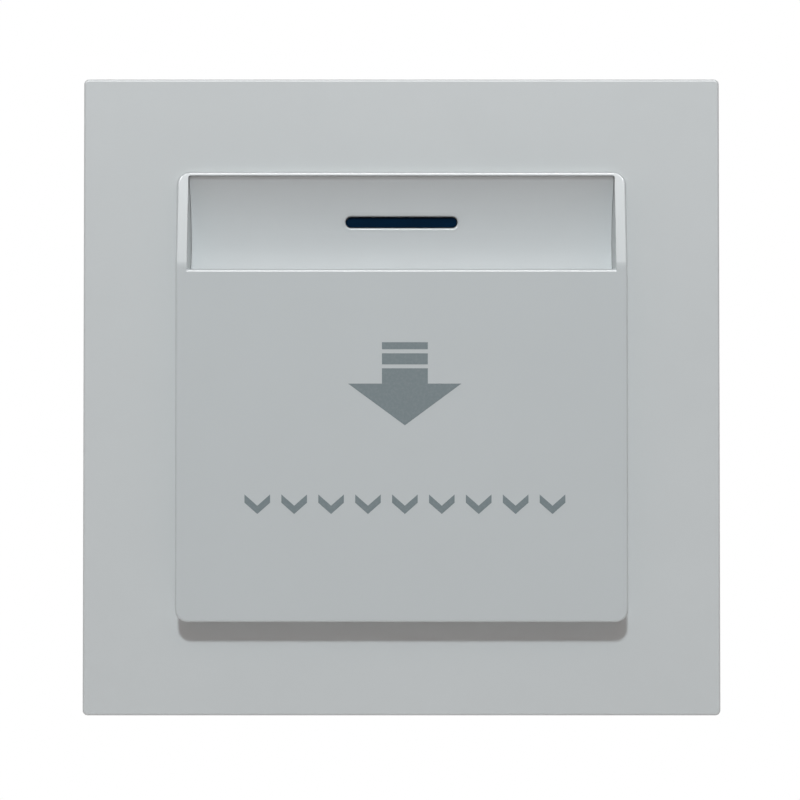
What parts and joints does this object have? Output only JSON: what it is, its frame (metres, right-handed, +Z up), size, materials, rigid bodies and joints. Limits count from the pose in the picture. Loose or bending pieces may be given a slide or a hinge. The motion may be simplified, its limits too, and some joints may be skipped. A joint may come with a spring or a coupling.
{
  "type": "hotel key card switch",
  "caption": "Square wall plate with a raised card pocket: a pushed-in key card swings a lever that works a snap switch and relay behind it.",
  "frame": {"origin": "middle of the two fixing slots, on the wall's surface, which is the yoke's back face", "axes": "+X to the right and +Z up as seen from the front, -Y out of the wall towards the user"},
  "size_m": [0.086, 0.0436, 0.086],
  "materials": {
    "plate_plastic": "satin",
    "cover_plastic": "satin",
    "panel_plastic": "satin",
    "window_blue": "polished",
    "zinc_steel": "zinc plated",
    "housing_plastic": "fine moulded",
    "screw_steel": "zinc plated",
    "board_green": "solder mask",
    "led_blue": "clear",
    "black_plastic": "moulded",
    "lever_plastic": "moulded",
    "spring_steel": "drawn wire",
    "plunger_red": "moulded",
    "contact_copper": "stamped",
    "tinned_metal": "tinned",
    "relay_plastic": "moulded",
    "bobbin_plastic": "moulded",
    "winding_copper": "enamelled wire",
    "soft_iron": "plated",
    "terminal_plastic": "moulded",
    "clamp_brass": "nickel plated",
    "film_yellow": "potted box",
    "can_sleeve": "shrink sleeve",
    "resistor_lacquer": "lacquer",
    "varistor_blue": "dipped coat"
  },
  "bodies": {
    "base": {"card_pocket_back": "panel_plastic", "window_lens": "window_blue", "mounting_yoke": "zinc_steel", "rear_housing": "housing_plastic", "housing_screws": "screw_steel", "circuit_board": "board_green", "board_screws": "screw_steel", "indicator_leds": "led_blue", "led_spacer": "black_plastic", "lever_pin": "screw_steel", "lever_spring": "spring_steel", "microswitch_case": "black_plastic", "microswitch_base": "black_plastic", "switch_pins": "tinned_metal", "relay_base": "black_plastic", "relay_cover": "relay_plastic", "relay_bobbin": "bobbin_plastic", "relay_winding": "winding_copper", "relay_core": "soft_iron", "relay_frame": "soft_iron", "relay_pins": "tinned_metal", "terminal_block": "terminal_plastic", "terminal_bars": "tinned_metal", "film_capacitor": "film_yellow", "electrolytic_capacitor": "can_sleeve", "bridge_rectifier": "black_plastic", "resistors": "resistor_lacquer", "varistor": "varistor_blue", "control_chip": "black_plastic"},
    "faceplate": {"outer_frame": "plate_plastic", "pocket_cover": "cover_plastic"},
    "lever": {"card_lever": "lever_plastic"},
    "plunger": {"switch_plunger": "plunger_red"},
    "blade": {"switch_blade": "contact_copper"},
    "armature": {"relay_armature": "soft_iron"},
    "screw_1": {"terminal_screw_1": "screw_steel"},
    "clamp_1": {"terminal_clamp_1": "clamp_brass"},
    "screw_2": {"terminal_screw_2": "screw_steel"},
    "clamp_2": {"terminal_clamp_2": "clamp_brass"},
    "screw_3": {"terminal_screw_3": "screw_steel"},
    "clamp_3": {"terminal_clamp_3": "clamp_brass"},
    "screw_4": {"terminal_screw_4": "screw_steel"},
    "clamp_4": {"terminal_clamp_4": "clamp_brass"}
  },
  "joints": [
    {"name": "faceplate_pull", "type": "slide", "parent": "base", "child": "faceplate", "axis": [0, -1, 0], "range_m": [0, 0.02]},
    {"name": "lever_swing", "type": "hinge", "parent": "base", "child": "lever", "pos_m": [0, 0.0026, -0.0205], "axis": [1, 0, 0], "range_deg": [0, 19.2], "stiffness_Nm_per_rad": 0.01, "springref_deg": -45.84, "deforming": ["lever_spring"]},
    {"name": "plunger_slide", "type": "slide", "parent": "base", "child": "plunger", "axis": [0, -1, 0], "range_m": [0, 0.0011]},
    {"name": "blade_swing", "type": "hinge", "parent": "base", "child": "blade", "pos_m": [0.0076, 0.00902, -0.0163], "axis": [0, 0, 1], "range_deg": [0, 8]},
    {"name": "armature_swing", "type": "hinge", "parent": "base", "child": "armature", "pos_m": [0.0045, -0.00065, 0.0048], "axis": [0, 0, -1], "range_deg": [0, 4], "stiffness_Nm_per_rad": 0.02, "springref_deg": -17.19},
    {"name": "screw_1_turn", "type": "hinge", "parent": "base", "child": "screw_1", "pos_m": [-0.01275, 0.0264, -0.0195], "axis": [0, -1, 0], "range_deg": [0, 1800]},
    {"name": "clamp_1_slide", "type": "slide", "parent": "base", "child": "clamp_1", "axis": [0, 1, 0], "range_m": [0, 0.0025]},
    {"name": "screw_2_turn", "type": "hinge", "parent": "base", "child": "screw_2", "pos_m": [-0.00425, 0.0264, -0.0195], "axis": [0, -1, 0], "range_deg": [0, 1800]},
    {"name": "clamp_2_slide", "type": "slide", "parent": "base", "child": "clamp_2", "axis": [0, 1, 0], "range_m": [0, 0.0025]},
    {"name": "screw_3_turn", "type": "hinge", "parent": "base", "child": "screw_3", "pos_m": [0.00425, 0.0264, -0.0195], "axis": [0, -1, 0], "range_deg": [0, 1800]},
    {"name": "clamp_3_slide", "type": "slide", "parent": "base", "child": "clamp_3", "axis": [0, 1, 0], "range_m": [0, 0.0025]},
    {"name": "screw_4_turn", "type": "hinge", "parent": "base", "child": "screw_4", "pos_m": [0.01275, 0.0264, -0.0195], "axis": [0, -1, 0], "range_deg": [0, 1800]},
    {"name": "clamp_4_slide", "type": "slide", "parent": "base", "child": "clamp_4", "axis": [0, 1, 0], "range_m": [0, 0.0025]}
  ],
  "couplings": [
    {"joint": "plunger_slide", "follows": "lever_swing", "m_per_rad": 0.003272},
    {"joint": "blade_swing", "follows": "lever_swing", "ratio": 0.4154},
    {"joint": "screw_1_turn", "follows": "clamp_1_slide", "rad_per_m": 12566},
    {"joint": "screw_2_turn", "follows": "clamp_2_slide", "rad_per_m": 12566},
    {"joint": "screw_3_turn", "follows": "clamp_3_slide", "rad_per_m": 12566},
    {"joint": "screw_4_turn", "follows": "clamp_4_slide", "rad_per_m": 12566}
  ]
}
